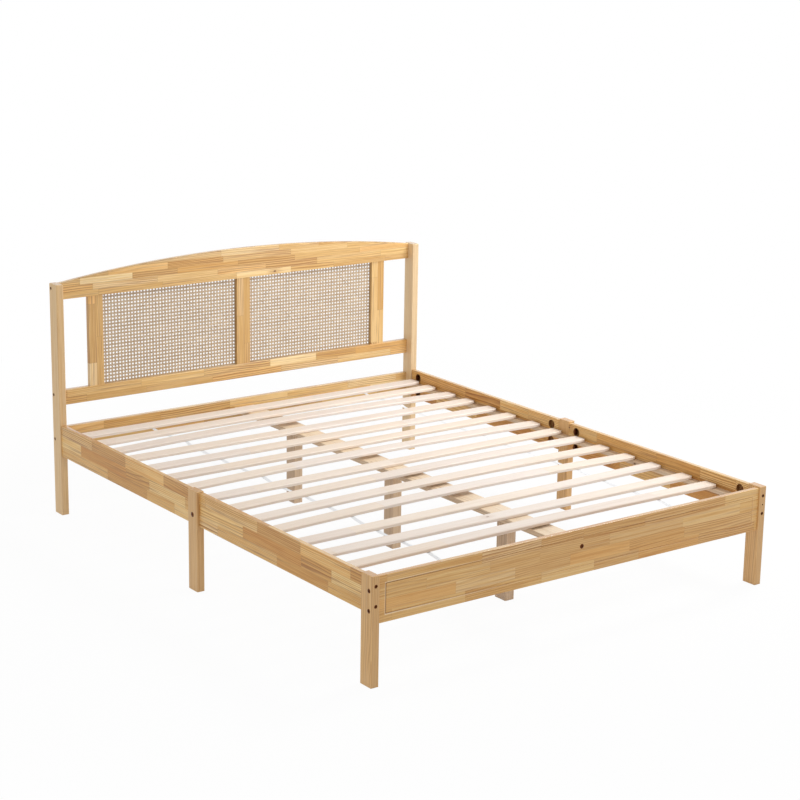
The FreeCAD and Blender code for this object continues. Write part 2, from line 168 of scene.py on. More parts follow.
def finish_off(wire, colour, roughness, height, depth, extra=None):
    """The surface shader at the end of a finish, with its relief in metres."""
    relief = wire.node("Bump", {}, {"Distance": depth, "Height": height})
    sockets = {"Base Color": colour, "Roughness": roughness, "Normal": relief, **(extra or {})}
    surface = wire.node("BsdfPrincipled", {}, sockets)
    wire.node("OutputMaterial", {}, {"Surface": surface})


print("mid grey in light values:", round(paint(128, 128, 128)[0], 3))

# %% [markdown]
# The boards are edge-glued pine: staves a few centimetres wide, each made of short blocks that are
# finger-jointed end to end. Every block comes from another tree, so its tone and its rings jump at the
# joint. Legs and posts are single sticks. The ledgers, the beam and its legs have no honey-coloured finish,
# and the slats are paler still. One table for each kind of wood keeps all of that in one place.

# %% Kinds of wood
# block: length of a block in metres; spread: how far blocks differ in tone; late, vein and fibre: strength
# of dark rings, streaks and fibres; knots: share of blocks without one; joint: darkness of glue lines;
# varnish: coat on faces that look up.
HONEY = {
    "block": 0.27, "spread": 0.85, "late": 1.15, "vein": 0.65, "fibre": 0.35,
    "knots": 0.972, "joint": 0.30, "varnish": 1.0,
    "tones": [(0.0, paint(210, 156, 86)), (0.35, paint(229, 183, 113)),
              (0.65, paint(242, 202, 137)), (1.0, paint(252, 223, 167))],
    "tints": [(0.0, paint(255, 239, 211)), (0.45, paint(255, 251, 235)), (1.0, paint(252, 250, 248))],
    "late_tone": paint(156, 90, 28), "knot_and_painted_shade_tone": paint(112, 66, 34),
}
CALM = {
    **HONEY, "spread": 0.42, "late": 0.95, "vein": 0.45, "joint": 0.15,
    "tones": [(0.0, paint(201, 151, 88)), (0.35, paint(218, 174, 111)),
              (0.65, paint(230, 192, 133)), (1.0, paint(241, 212, 161))],
    "late_tone": paint(164, 96, 28),
}
BRIGHT = {
    **HONEY, "spread": 0.95, "knots": 0.996,
    "tones": [(0.0, paint(207, 165, 102)), (0.35, paint(223, 187, 129)),
              (0.65, paint(235, 205, 154)), (1.0, paint(246, 225, 184))],
    "late_tone": paint(156, 96, 36),
}
LEG = {
    **HONEY, "block": 9.0, "spread": 0.30, "late": 0.55, "vein": 0.40, "fibre": 0.25,
    "tones": [(0.0, paint(212, 166, 110)), (0.35, paint(224, 182, 126)),
              (0.65, paint(233, 194, 140)), (1.0, paint(241, 207, 157))],
    "tints": [(0.0, paint(255, 250, 238)), (1.0, paint(250, 250, 248))],
    "late_tone": paint(158, 100, 46),
}
STOCK = {
    **LEG, "late": 0.40, "vein": 0.22,
    "tones": [(0.0, paint(216, 179, 130)), (0.35, paint(228, 195, 147)),
              (0.65, paint(235, 205, 161)), (1.0, paint(242, 216, 177))],
}
# A paler copy of STOCK for the right headboard post: painted light, for the stronger light that falls on
# that post.
PAINTED_LIT_STOCK = {
    **STOCK,
    "tones": [(0.0, paint(228, 196, 153)), (0.5, paint(241, 215, 174)), (1.0, paint(250, 231, 198))],
}
RAW = {
    **STOCK, "block": 0.7, "spread": 0.40, "late": 0.60, "vein": 0.35, "varnish": 0.0,
    "tones": [(0.0, paint(206, 179, 149)), (0.4, paint(221, 195, 166)),
              (0.7, paint(231, 207, 180)), (1.0, paint(239, 217, 192))],
    "late_tone": paint(158, 122, 86),
}
LIGHT_RAW = {
    **RAW,
    "tones": [(0.0, paint(228, 204, 177)), (0.5, paint(244, 223, 198)), (1.0, paint(251, 236, 216))],
}
PALE = {
    "block": 0.75, "spread": 0.35, "late": 0.30, "vein": 0.20, "fibre": 0.16,
    "knots": 0.972, "joint": 0.10, "varnish": 0.0,
    "tones": [(0.0, paint(231, 216, 201)), (0.4, paint(238, 225, 211)),
              (0.7, paint(242, 231, 219)), (1.0, paint(246, 238, 228))],
    "tints": [(0.0, paint(255, 251, 246)), (1.0, paint(252, 252, 255))],
    "late_tone": paint(200, 174, 152), "knot_and_painted_shade_tone": paint(146, 112, 90),
}
print("rails in blocks of about", HONEY["block"], "m, slats in blocks of about", PALE["block"], "m")

# %% [markdown]
# Next a board is cut and its grain grown, as sums on the place of each point. A picture of wood would
# repeat; instead each board counts its own rows, a one-dimensional Voronoi cuts each row into blocks of
# uneven length, and every block's random colour decides its tone, the slope of its rings and whether
# it has a knot. Grain runs along the board, as a joiner lays it.

# %% Staves, blocks and grain
AXES = {"X": 0, "Y": 1, "Z": 2}
IN_A_ROW = {"voronoi_dimensions": "1D"}
TO_NEXT = {"voronoi_dimensions": "1D", "feature": "DISTANCE_TO_EDGE"}
ROW_STEP, BOARD_STEP = 7.31, 4.19  # rows and boards start at unlike places in the pattern
UNEVEN = 0.85  # how unlike the blocks' lengths are, 0 to 1
FACE_SLACK = 1e-4  # keeps the lowest face inside the first stave
JUMP_ALONG, JUMP_ACROSS, JUMP_THROUGH = 91.0, 5.3, 37.0  # shift the noise from block to block
# Waves in a metre along and across the grain, and how much fine detail.
BENDS, STREAKS, FIBRES = (1.4, 10.0, 2.0), (3.0, 140.0, 4.0), (14.0, 900.0, 2.0)
RINGS, RING_BEND, KNOT_BEND = 150.0, 7.0, 2.0  # rings in a metre, and how far bends and knots push them
LEAN_ACROSS, LEAN_THROUGH = 0.45, 1.35  # how rings lie in a board before its block's own slope
LATE_SHARP, LATE_END = 2.5, (1.0, 0.93)  # late wood darkens slowly and ends at once
KNOT_AT, KNOT_ROOM, KNOT_LONG = 0.35, 0.30, 0.55  # place across the stave, and stretch along it
KNOT_EDGE, HALO_EDGE = (0.0045, 0.0020), (0.025, 0.002)
JOINT_EDGE, SEAM_EDGE = (0.0009, 0.0002), (0.0006, 0.0001)
SQUARELY = 0.80, 0.95  # how squarely a face looks along an axis to count


class Board:
    """What a board's wood is like at each point: block, joints, knots, rings and fibres."""

    def __init__(self, wire, node, grain, rows, count, seed, look):
        low, high = (corner[AXES[rows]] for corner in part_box(node))
        width = (high - low) / count
        spot, normal = wire.node("TexCoord", out=("Object", "Normal"))
        self.wire, self.seed, self.xyz, facing = wire, seed, spot.by_axis(), normal.by_axis()
        self.along, self.across = self.xyz[grain], self.xyz[rows]
        self.through = self.xyz[next(axis for axis in "XYZ" if axis not in (grain, rows))]
        self.end = abs(facing[grain]).ease(*SQUARELY)
        self.up = facing["Z"].ease(*SQUARELY)
        stave = (self.across - low + FACE_SLACK) / width
        self.row = stave.whole()

        place = self.along / look["block"] + self.row * ROW_STEP + seed * BOARD_STEP
        cut = {"W": place, "Scale": 1.0, "Randomness": UNEVEN}
        from_middle, block = wire.node("TexVoronoi", IN_A_ROW, cut, out=("Distance", "Color"))
        self.tone, self.slope, self.draw = wire.node("SeparateColor", {}, {0: block}, out=(0, 1, 2))
        to_joint = wire.node("TexVoronoi", TO_NEXT, cut, out="Distance") * look["block"]
        self.joint = to_joint.ease(*JOINT_EDGE)
        self.seam = ((0.5 - abs(stave.part() - 0.5)) * width).ease(*SEAM_EDGE)

        beside = (stave.part() - KNOT_AT - self.slope * KNOT_ROOM) * width
        to_knot = ((from_middle * (look["block"] * KNOT_LONG)) ** 2 + beside ** 2) ** 0.5
        has_knot = self.draw > look["knots"]
        self.knot = to_knot.ease(*KNOT_EDGE) * has_knot
        self.halo = to_knot.ease(*HALO_EDGE) * has_knot

        self.bend, self.streak, self.fibre = (self.noise(*kind) for kind in (BENDS, STREAKS, FIBRES))
        lean = self.across * (LEAN_ACROSS + self.slope) + self.through * (LEAN_THROUGH - self.slope)
        ring = (lean * RINGS + self.bend * RING_BEND + self.halo * KNOT_BEND).part()
        self.late = ring ** LATE_SHARP * ring.ease(*LATE_END)

    def noise(self, lengthwise, crosswise, detail):
        """Noise drawn out along the grain, another stretch of it in every block."""
        place = {0: self.along * lengthwise + self.draw * JUMP_ALONG,
                 1: self.across * crosswise + self.row * JUMP_ACROSS + self.seed,
                 2: self.through * crosswise + self.slope * JUMP_THROUGH}
        vector = self.wire.node("CombineXYZ", {}, place)
        return self.wire.node("TexNoise", {}, {"Vector": vector, "Scale": 1.0, "Detail": detail})


print("a board has", RINGS, "rings in a metre, its fibres", FIBRES[1], "waves")

# %% [markdown]
# Now the wood gets its colour, in the order in which a tree and a workshop give it: the block's own tone,
# rings and fibres over it, knots, then dark glue lines and thirsty end grain. Faces that look up have a
# coat of varnish, because rails catch a pale gleam along their upper edges. The coat is a layer of the
# surface shader, not a paler paint, so the gleam comes and goes with the view as it does on real wood.

# %% Pine
STREAK_TONE, MIDDLE_TONE = 2.0, 0.55  # how far streaks change the tone, and the tone without them
TINT_DRAW, FIGURE_DRAW = 13.7, 5.7  # turn a block's random number into another one
FIGURE_LEAST = 0.35  # blocks with the weakest rings keep this much of them
RING_FADE, VEIN_EDGE, FIBRE_EDGE = (0.2, 0.6), (0.52, 0.70), (0.52, 0.75)
HALO_TONE, SEAM_SHARE = 0.35, 0.5  # darkness round a knot; seams are weaker than joints
END_TONE, END_RINGS = 0.35, 0.30  # darkness of end grain, and of the rings in it
SHEEN, FIBRE_ROUGH, END_ROUGH, VARNISH_ROUGH = 0.36, 0.12, 0.20, 0.20
FIBRE_HIGH, RING_HIGH, SEAM_LOW, GRAIN_DEEP = 0.50, 0.35, 0.50, 0.00012
# Strength and colour of the painted highlight on the rim of the foot rail's routed line.
PAINTED_HIGHLIGHT_SHARE, PAINTED_HIGHLIGHT_TONE = 0.8, paint(250, 226, 190)


def pine(name, node, grain, rows, count, seed, look, painted_shade=None, painted_highlight=None):
    """Wood for one board: grain and rows are axes, count the staves across it."""
    material, wire = new_finish(name)
    board = Board(wire, node, grain, rows, count, seed, look)
    late_tone, knot_and_painted_shade_tone = look["late_tone"], look["knot_and_painted_shade_tone"]

    shade = (board.tone - 0.5) * look["spread"] + (board.streak - 0.5) * STREAK_TONE + MIDDLE_TONE
    colour = wire.node("ValToRGB", {"stops": look["tones"]}, {0: shade})
    tint = wire.node("ValToRGB", {"stops": look["tints"]}, {0: (board.slope * TINT_DRAW).part()})
    colour = mixed(1.0, colour, tint, "MULTIPLY")
    figure = FIGURE_LEAST + (board.tone * FIGURE_DRAW).part()
    dark_ring = board.late * look["late"] * figure * board.bend.ease(*RING_FADE)
    colour = mixed(dark_ring, colour, late_tone)
    colour = mixed(board.streak.ease(*VEIN_EDGE) * look["vein"], colour, late_tone)
    colour = mixed(board.fibre.ease(*FIBRE_EDGE) * look["fibre"], colour, late_tone)
    colour = mixed(board.halo * HALO_TONE, colour, late_tone)
    colour = mixed(board.knot, colour, knot_and_painted_shade_tone)
    glue = board.joint * look["joint"] + board.seam * (look["joint"] * SEAM_SHARE)
    colour = mixed(glue, colour, knot_and_painted_shade_tone)
    colour = mixed(board.end * (END_TONE + board.late * END_RINGS), colour, late_tone)
    # Painted shade in holes and in the routed line, in the dark tone of knots, then a painted highlight on
    # the line's rim.
    if painted_shade:
        colour = mixed(painted_shade(board.xyz), colour, knot_and_painted_shade_tone)
    if painted_highlight:
        colour = mixed(painted_highlight(board.xyz) * PAINTED_HIGHLIGHT_SHARE, colour, PAINTED_HIGHLIGHT_TONE)

    roughness = SHEEN + board.fibre * FIBRE_ROUGH + board.end * END_ROUGH
    height = board.fibre * FIBRE_HIGH + board.late * RING_HIGH - board.joint - board.seam * SEAM_LOW
    coat = {}
    if look["varnish"]:
        coat = {"Coat Weight": board.up * look["varnish"], "Coat Roughness": VARNISH_ROUGH}
    finish_off(wire, colour, roughness, height, GRAIN_DEEP, coat)
    return material


print("pine: grain", round(GRAIN_DEEP * 1000, 2), "mm deep, roughness from", SHEEN)

# %% [markdown]
# Some places on the boards are painted darker than the rest: round holes, given painted shade where a
# recess
# lies in shadow. Their depth finds them: a mask is 1 where a point is deeper than the face and inside the
# outline, and the holes' middles are read from the CAD mesh, from the points of their flat floors.

# %% Painted shade in holes
POCKET_R, POCKET_DEEP, POCKET_SHADE = 0.0175, 0.014, 0.7  # round pockets for the nuts
PILOT_R, PILOT_DEEP, PILOT_SHADE = 0.003, 0.012, 1.0  # small open hole in the right foot leg
NEAR = 1e-4  # CAD points this near to a depth lie at that depth
LINKED = 1.2  # neighbours on the rim of one hole are nearer than this, in radii
HOLE_EDGE = 1.04, 1.005  # the painted shade ends between these, in radii
SHADE_FROM, SHADE_PAST = (0.0002, 0.0015), (0.001, 0.0004)  # it starts below the face, ends past the floor


def span(points):
    """The lowest and the highest corner of a group of points."""
    low = Vector(min(point[k] for point in points) for k in range(3))
    high = Vector(max(point[k] for point in points) for k in range(3))
    return low, high


def points_at(node, axis, face, way, deep):
    """The points of a CAD piece that lie at one depth below a face."""
    main = AXES[axis]
    points = [vertex.co for vertex in nodes[node].data.vertices]
    return [point for point in points if abs((point[main] - face) * way - deep) < NEAR]


def clusters(points, reach):
    """Points in groups: each is nearer than reach to another point of its group."""
    groups = []
    for point in points:
        near = [group for group in groups if any((point - other).length < reach for other in group)]
        groups = [group for group in groups if group not in near]
        groups.append(sum(near, [point]))
    return groups


def hole_shade(node, axis, face, way, radius, deep, strength):
    """A mask of painted shade for the round holes that go in from a face along an axis, way +1 or -1."""
    holes = clusters(points_at(node, axis, face, way, deep), radius * LINKED)
    middles = [sum(span(hole), Vector()) / 2 for hole in holes]
    flat = [name for name in "XYZ" if name != axis]
    print(node, "- stained holes:", len(middles))

    def mask(xyz):
        below = (xyz[axis] - face) * way
        inside = 0.0
        for middle in middles:
            first, second = (xyz[name] - middle[AXES[name]] for name in flat)
            away = (first ** 2 + second ** 2) ** 0.5
            inside = away.ease(*(radius * edge for edge in HOLE_EDGE)) + inside
        depth = below.ease(*SHADE_FROM) * below.ease(*(deep + past for past in SHADE_PAST))
        return depth * inside * strength
    return mask


# Strengths of the painted shade in the pockets and in the small hole.
print("stain: in pockets", POCKET_SHADE, "and in the small hole", PILOT_SHADE)

# %% [markdown]
# A fine vee-shaped line is routed round the face of the foot rail. Its inner slope is painted darker, as
# painted shade, and its outer slope and rim paler, as a painted highlight, most of all near the left end.
# Both bands follow from one number, the distance from the bottom of the line, so the marks keep to the line
# right round.

# %% The routed line
LINE_DEEP, LINE_HALF = 0.002, 0.002  # depth of the line, and half its width
LIP, LINE_BLUR = 0.0018, 0.0004  # width of the painted highlight's rim outside the line, and how softly marks end
PAINTED_FADE_REACH, PAINTED_FADE_LEAST = 0.6, 0.2  # painted shade and highlight fade from the left end as far as this, down to this strength
GROOVE_SHADE = 0.56  # darkness of the painted shade on the inner slope
FRONT_REACH = LINE_DEEP * 2, LINE_DEEP * 1.5


def line_marks(node):
    """Two masks for the line: painted shade on its inner slope, and a painted highlight on its outer slope
    with the rim.
    """
    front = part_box(node)[0].y
    low, high = span(points_at(node, "Y", front, 1, LINE_DEEP))
    middle, half = (low + high) / 2, (high - low) / 2
    print(node, "- routed line:", round(2 * half.x, 3), "x", round(2 * half.z, 3), "m")

    def outward(xyz):
        """Distance from the bottom of the line, plus on the outside and minus on the inside."""
        beside = abs(xyz["X"] - middle.x) - half.x
        above = abs(xyz["Z"] - middle.z) - half.z
        return beside.larger(above)

    def at_front(xyz):
        """1 on the front near the left end, less and less to the right."""
        painted_fade = (xyz["X"] - low.x).ease(PAINTED_FADE_REACH, 0.0) * (1 - PAINTED_FADE_LEAST) + PAINTED_FADE_LEAST
        return (xyz["Y"] - front).ease(*FRONT_REACH) * painted_fade

    # Painted shade on the inner slope of the line.
    def inner(xyz):
        far = outward(xyz)
        band = far.ease(LINE_BLUR, 0.0) * far.ease(-LINE_HALF - LINE_BLUR, -LINE_HALF)
        return band * at_front(xyz) * GROOVE_SHADE

    # Painted highlight on the outer slope of the line and its rim.
    def outer(xyz):
        far = outward(xyz)
        band = far.ease(0.0, LINE_BLUR) * far.ease(LINE_HALF + LIP, LINE_HALF + LIP / 2)
        return band * at_front(xyz)
    return inner, outer


def marks_for(node):
    """The places of one board with painted shade and with a painted highlight, if it has any."""
    low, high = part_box(node)
    if node.startswith("side_rail"):
        face, way = (low.x, 1) if low.x > 0 else (high.x, -1)
        return hole_shade(node, "X", face, way, POCKET_R, POCKET_DEEP, POCKET_SHADE), None
    if node == "foot_leg_right":
        return hole_shade(node, "Y", low.y, 1, PILOT_R, PILOT_DEEP, PILOT_SHADE), None
    return line_marks(node) if node == "foot_rail" else (None, None)


print("routed line:", LINE_DEEP * 1000, "mm deep,", LINE_HALF * 2000, "mm wide")

# %% [markdown]
# Each board is listed with the axis that its grain follows, the axis across which its staves lie side by
# side, how many staves it has, and its kind of wood. A board's place in the list seeds its pattern, so no
# two boards are alike and every run gives the same bed. Slats are single pale boards with their own seeds.

# %% Dress the boards
SLAT_SEED = 40  # slats' patterns start here, past those of the boards
POST, LONG, WIDE, UPRIGHT = ("Z", "Y", 1), ("Y", "Z", 3), ("X", "Z"), ("Z", "X", 2)
BOARDS = {
    "headboard_post_left": (*POST, STOCK),
    "headboard_post_right": (*POST, PAINTED_LIT_STOCK),
    "foot_leg_left": (*POST, LEG),
    "foot_leg_right": (*POST, LEG),
    "mid_leg_left": (*POST, LEG),
    "mid_leg_right": (*POST, LEG),
    "headboard_top_rail": (*WIDE, 5, BRIGHT),
    "headboard_mid_rail": (*WIDE, 2, BRIGHT),
    "headboard_bottom_rail": (*WIDE, 3, BRIGHT),
    "foot_rail": (*WIDE, 4, CALM),
    "headboard_stile_left": (*UPRIGHT, BRIGHT),
    "headboard_stile_right": (*UPRIGHT, BRIGHT),
    "headboard_stile_centre": (*UPRIGHT, BRIGHT),
    "side_rail_left_head": (*LONG, HONEY),
    "side_rail_left_foot": (*LONG, HONEY),
    "side_rail_right_head": (*LONG, HONEY),
    "side_rail_right_foot": (*LONG, HONEY),
    "slat_ledger_left": ("Y", "Z", 1, RAW),
    "slat_ledger_right": ("Y", "Z", 1, RAW),
    "centre_beam": ("Y", "X", 2, LIGHT_RAW),
    "centre_leg_1": ("Z", "X", 1, RAW),
    "centre_leg_2": ("Z", "X", 1, RAW),
    "centre_leg_3": ("Z", "X", 1, RAW),
}


def dress(node, material):
    """Give a CAD piece one finish all over."""
    nodes[node].data.materials.clear()
    nodes[node].data.materials.append(material)


for seed, (node, (grain, rows, count, look)) in enumerate(BOARDS.items()):
    dress(node, pine("honey_pine_" + node, node, grain, rows, count, seed, look, *marks_for(node)))
slats = sorted(name for name in nodes if name.startswith("slat_") and name[5:].isdigit())
for seed, node in enumerate(slats, SLAT_SEED):
    dress(node, pine("pale_pine_" + node, node, "X", "Y", 1, seed, PALE))
print("boards in honey pine:", len(BOARDS), "- slats in pale pine:", len(slats))

# %% [markdown]
# The headboard's panels are cane webbing: strips of the vine's glossy skin, woven in four directions.
# Pairs of strands go up and across, and single strands run both ways at a slant, over one pair and under
# the other, so that eight-sided holes are left. A see-through texture would look flat from the side,
# so every strand is real: a strip three points wide, bulged in front, that rises and dips at each crossing.

# %% Strands and where they cross
STRAND = 0.0026  # width of one strand
PAIR = 0.0016  # strand's middle from the middle of its pair
BULGE = 0.00045  # crest of a strand in front of its edges
DIP_PAIR = 0.0003  # how far strands of crossing pairs sway
DIP_SLANT = 0.0008  # how far slanting strands sway
LANE_HALF = 0.45  # strip coordinate at a strand's edge, from its middle
CANE_COLUMNS, CANE_ROWS = 43, 26


class Weave:
    """Collects the strips of one cane panel as points, faces and strip coordinates."""

    def __init__(self, depth):
        self.points, self.faces, self.strip = [], [], []
        self.depth, self.count = depth, 0

    def strand(self, path):
        """One strip along (x, z, lift) points in the panel's plane; lift is towards the front."""
        self.count += 1
        start, run = len(self.points), 0.0
        for i, (x, z, lift) in enumerate(path):
            before, after = path[max(i - 1, 0)], path[min(i + 1, len(path) - 1)]
            way = Vector((after[0] - before[0], after[1] - before[1])).normalized()
            side = Vector((way.y, -way.x)) * STRAND / 2
            if i:
                run += math.hypot(x - path[i - 1][0], z - path[i - 1][1])
            for step, bulge in ((-1, 0.0), (0, BULGE), (1, 0.0)):
                self.points.append((x + side.x * step, self.depth - lift - bulge, z + side.y * step))
                self.strip.append((self.count + 0.5 + step * LANE_HALF, run))
            if i:
                a, b = start + 3 * (i - 1), start + 3 * i
                self.faces += [(a, b, b + 1, a + 1), (a + 1, b + 1, b + 2, a + 2)]


def make_piece(name, points, faces, material, body, slot, *stood_for):
    """A mesh object that rides on a body and may stand for CAD pieces."""
    mesh = bpy.data.meshes.new(name)
    mesh.from_pydata(points, [], faces)
    mesh.shade_smooth()
    mesh.materials.append(material)
    made = bpy.data.objects.new(name, mesh)
    bpy.context.scene.collection.objects.link(made)
    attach(made, body)
    if stood_for:
        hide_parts(*stood_for)
    return made


def lay_strip(made, strip):
    """Write strip coordinates, one for each point, where a finish can read them."""
    layer = made.data.uv_layers.new(name="strip")
    for loop in made.data.loops:
        layer.data[loop.index].uv = strip[loop.vertex_index]


print("cane:", CANE_COLUMNS, "x", CANE_ROWS, "holes to a panel, strands", STRAND * 1000, "mm wide")

# %% [markdown]
# Cane keeps the vine's look: straw-coloured skin with fine lengthwise fibres, a different tone from strand
# to strand, and now and then a brown ring where a leaf grew; each strand's edges are painted darker, as
# painted shade where it turns away.
# Each strip carries its own coordinates, which strand and how far along, and the finish reads those.

# %% Cane skin
SKIN_ACROSS, SKIN_ALONG, SKIN_JUMP = 9.0, 28.0, 50.0  # waves of fibre across a strand and in a metre
LEAF_EVERY, LEAF_JUMP, LEAF_EDGE = 0.21, 31.0, (0.0016, 0.0004)
SKIN_TONES = [(0.0, paint(164, 139, 107)), (0.5, paint(193, 167, 134)), (1.0, paint(217, 195, 162))]
# Painted shade along each strand's edges: where it begins across the strand, and its colour; then the
# colour of leaf rings.
PAINTED_EDGE_BAND, PAINTED_EDGE_SHADE, LEAF_TONE = (0.40, 0.92), paint(128, 98, 70), paint(122, 88, 56)
PAINTED_EDGE_DARK, LEAF_DARK = 0.70, 0.60  # strength of those two tones
STRAND_SHARE, FIBRE_SHARE, SKIN_BASE = 0.60, 0.70, -0.15  # what a strand's tone is made of
SKIN_ROUGH, SKIN_FIBRE_ROUGH, EDGE_ROUGH, SKIN_DEEP = 0.34, 0.20, 0.12, 0.0001


def cane_skin():
    """The finish of the strands."""
    material, wire = new_finish("cane_skin")
    strip = wire.node("UVMap", {"uv_map": "strip"})
    lane, run = wire.node("SeparateXYZ", {}, {0: strip}, out=(0, 1))
    tone = wire.node("TexWhiteNoise", {"noise_dimensions": "1D"}, {"W": lane.whole()}, out="Value")
    place = {0: lane * SKIN_ACROSS, 1: run * SKIN_ALONG, 2: tone * SKIN_JUMP}
    vector = wire.node("CombineXYZ", {}, place)
    fibre = wire.node("TexNoise", {}, {"Vector": vector, "Scale": 1.0, "Detail": 3.0})
    leaf_at = {"W": run / LEAF_EVERY + tone * LEAF_JUMP, "Scale": 1.0}
    leaf = (wire.node("TexVoronoi", TO_NEXT, leaf_at, out="Distance") * LEAF_EVERY).ease(*LEAF_EDGE)
    shade = tone * STRAND_SHARE + fibre * FIBRE_SHARE + SKIN_BASE
    colour = wire.node("ValToRGB", {"stops": SKIN_TONES}, {0: shade})
    # A strand's edges get painted shade where it turns away from the front, and are a little rougher.
    edge = (abs(lane.part() - 0.5) * 2.0).ease(*PAINTED_EDGE_BAND)
    colour = mixed(edge * PAINTED_EDGE_DARK, colour, PAINTED_EDGE_SHADE)
    colour = mixed(leaf * LEAF_DARK, colour, LEAF_TONE)
    roughness = SKIN_ROUGH + fibre * SKIN_FIBRE_ROUGH + edge * EDGE_ROUGH
    finish_off(wire, colour, roughness, fibre + leaf, SKIN_DEEP)
    return material


skin = cane_skin()
print("cane skin:", len(skin.node_tree.nodes), "nodes")

# %% [markdown]
# A weaver stretches the upright pairs first, works the pairs across, then threads the slanting strands.
# The loops keep that order. Holes are counted in the photograph and spread evenly between the stiles, so
# each panel starts and ends with half a pair at the wood; strand ends run on into the groove of the frame.

# %% Weave both panels
ROUNDING = 0.01  # a slanting strand's end may miss the panel's side by this share of a hole


def sway(index, other):
    """A pair's strand lies over every second strand that crosses it."""
    return DIP_PAIR if (index + other) % 2 else -DIP_PAIR


def weave_panel(side, left_stile, right_stile):
    """One panel between two stiles, in place of the CAD net."""
    name = "cane_panel_" + side
    low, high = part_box(name)
    x0, x1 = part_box(left_stile)[1].x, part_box(right_stile)[0].x
    z0, z1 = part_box("headboard_mid_rail")[1].z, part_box("headboard_top_rail")[0].z
    pitch_x, pitch_z = (x1 - x0) / CANE_COLUMNS, (z1 - z0) / CANE_ROWS
    weave = Weave((low.y + high.y) / 2)
    for column in range(CANE_COLUMNS + 1):
        for half, offset in enumerate((-PAIR, PAIR)):
            x, path = x0 + column * pitch_x + offset, []
            for row in range(CANE_ROWS + 1):
                z = z0 + row * pitch_z
                lift = sway(half, column + row)
                path += [(x, z - PAIR, lift), (x, z + PAIR, -lift), (x, z + pitch_z / 2, 0.0)]
            weave.strand([(x, low.z, 0.0)] + path[:-1] + [(x, high.z, 0.0)])
    for row in range(CANE_ROWS + 1):
        for half, offset in enumerate((-PAIR, PAIR)):
            z, path = z0 + row * pitch_z + offset, []
            for column in range(CANE_COLUMNS + 1):
                x = x0 + column * pitch_x
                lift = -sway(half, column + row)
                path += [(x - PAIR, z, lift), (x + PAIR, z, -lift), (x + pitch_x / 2, z, 0.0)]
            weave.strand([(low.x, z, 0.0)] + path[:-1] + [(high.x, z, 0.0)])
    for rise in (1, -1):
        for start in range(-CANE_ROWS - 1, CANE_COLUMNS + CANE_ROWS + 1):
            path = []
            for step in range(2 * CANE_ROWS + 1):
                across = start + 0.5 + step * 0.5
                up = step * 0.5 if rise > 0 else CANE_ROWS - step * 0.5
                if -ROUNDING <= across <= CANE_COLUMNS + ROUNDING:
                    lift = rise * (DIP_SLANT if step % 2 == 0 else -DIP_SLANT)
                    path.append((x0 + across * pitch_x, z0 + up * pitch_z, lift))
            if len(path) > 1:
                weave.strand(path)
    made = make_piece("woven_cane_" + side, weave.points, weave.faces, skin, "bed_frame", "cane", name)
    lay_strip(made, weave.strip)
    print(made.name, weave.count, "strands,", len(weave.faces), "faces")


weave_panel("left", "headboard_stile_left", "headboard_stile_centre")
weave_panel("right", "headboard_stile_centre", "headboard_stile_right")

# %% [markdown]
# Two white tapes run under the slats and tie them into a roll, so that the whole set lifts out at once.
# Such tape is woven from fine threads, far too fine to model. Two sine waves, one for the threads along it
# and one for those across, make a chequered weave when they are multiplied, and a little noise soils it.

# %% Tape finish
WARP_THREADS, WEFT_THREADS = 18.0, 900.0  # across the tape, and in a metre of it
SOIL_SCALE, THREAD_SHARE, SOIL_SHARE = 40.0, 0.6, 0.3
TAPE_SHADE, TAPE_WHITE = paint(226, 228, 231), paint(250, 251, 252)
TAPE_ROUGH, THREAD_SMOOTH, THREAD_DEEP = 0.75, 0.10, 0.0003


def woven_tape():
    """The finish of the tapes."""
    material, wire = new_finish("woven_tape")
    strip = wire.node("UVMap", {"uv_map": "strip"})
    across, run = wire.node("SeparateXYZ", {}, {0: strip}, out=(0, 1))
    thread = (across * WARP_THREADS).wave() * (run * WEFT_THREADS).wave() * 0.5 + 0.5
    soil = wire.node("TexNoise", {}, {"Vector": strip, "Scale": SOIL_SCALE, "Detail": 4.0})
    colour = mixed(thread * THREAD_SHARE + soil * SOIL_SHARE, TAPE_SHADE, TAPE_WHITE)
    finish_off(wire, colour, TAPE_ROUGH - thread * THREAD_SMOOTH, thread, THREAD_DEEP)
    return material


tape = woven_tape()
print("tape finish:", len(tape.node_tree.nodes), "nodes")

# %% [markdown]
# The tape lies flat against each slat and sags a little in between. It is swept from the line that the CAD
# tape already follows: that line is read from the frame, a few points are added for the sag, and a flat
# strip is drawn along it. A simulation would add little here, because the tape is held at every slat.

# %% Lay the tapes
TAPE_THICK, TAPE_SAG = 0.0008, 0.0025
TAPE_STEPS = 8  # points to a stretch of tape


def tape_line(node):
    """The (y, z) line of a tape from head to foot, sagging wherever no slat is above it."""
    levels = {}
    for vertex in nodes[node].data.vertices:
        levels.setdefault(round(vertex.co.y, 5), set()).add(round(vertex.co.z, 5))
    line = [(y, sum(zs) / len(zs)) for y, zs in sorted(levels.items(), reverse=True)]
    path = [line[0]]
    for i in range(1, len(line)):
        (y0, z0), (y1, z1) = line[i - 1], line[i]
        free = i % 2 == 0 and i < len(line) - 1
        for step in range(1, TAPE_STEPS + 1):
            t = step / TAPE_STEPS
            sag = TAPE_SAG * math.sin(math.pi * t) if free else 0.0
            path.append((y0 + (y1 - y0) * t, z0 + (z1 - z0) * t - sag))
    return path


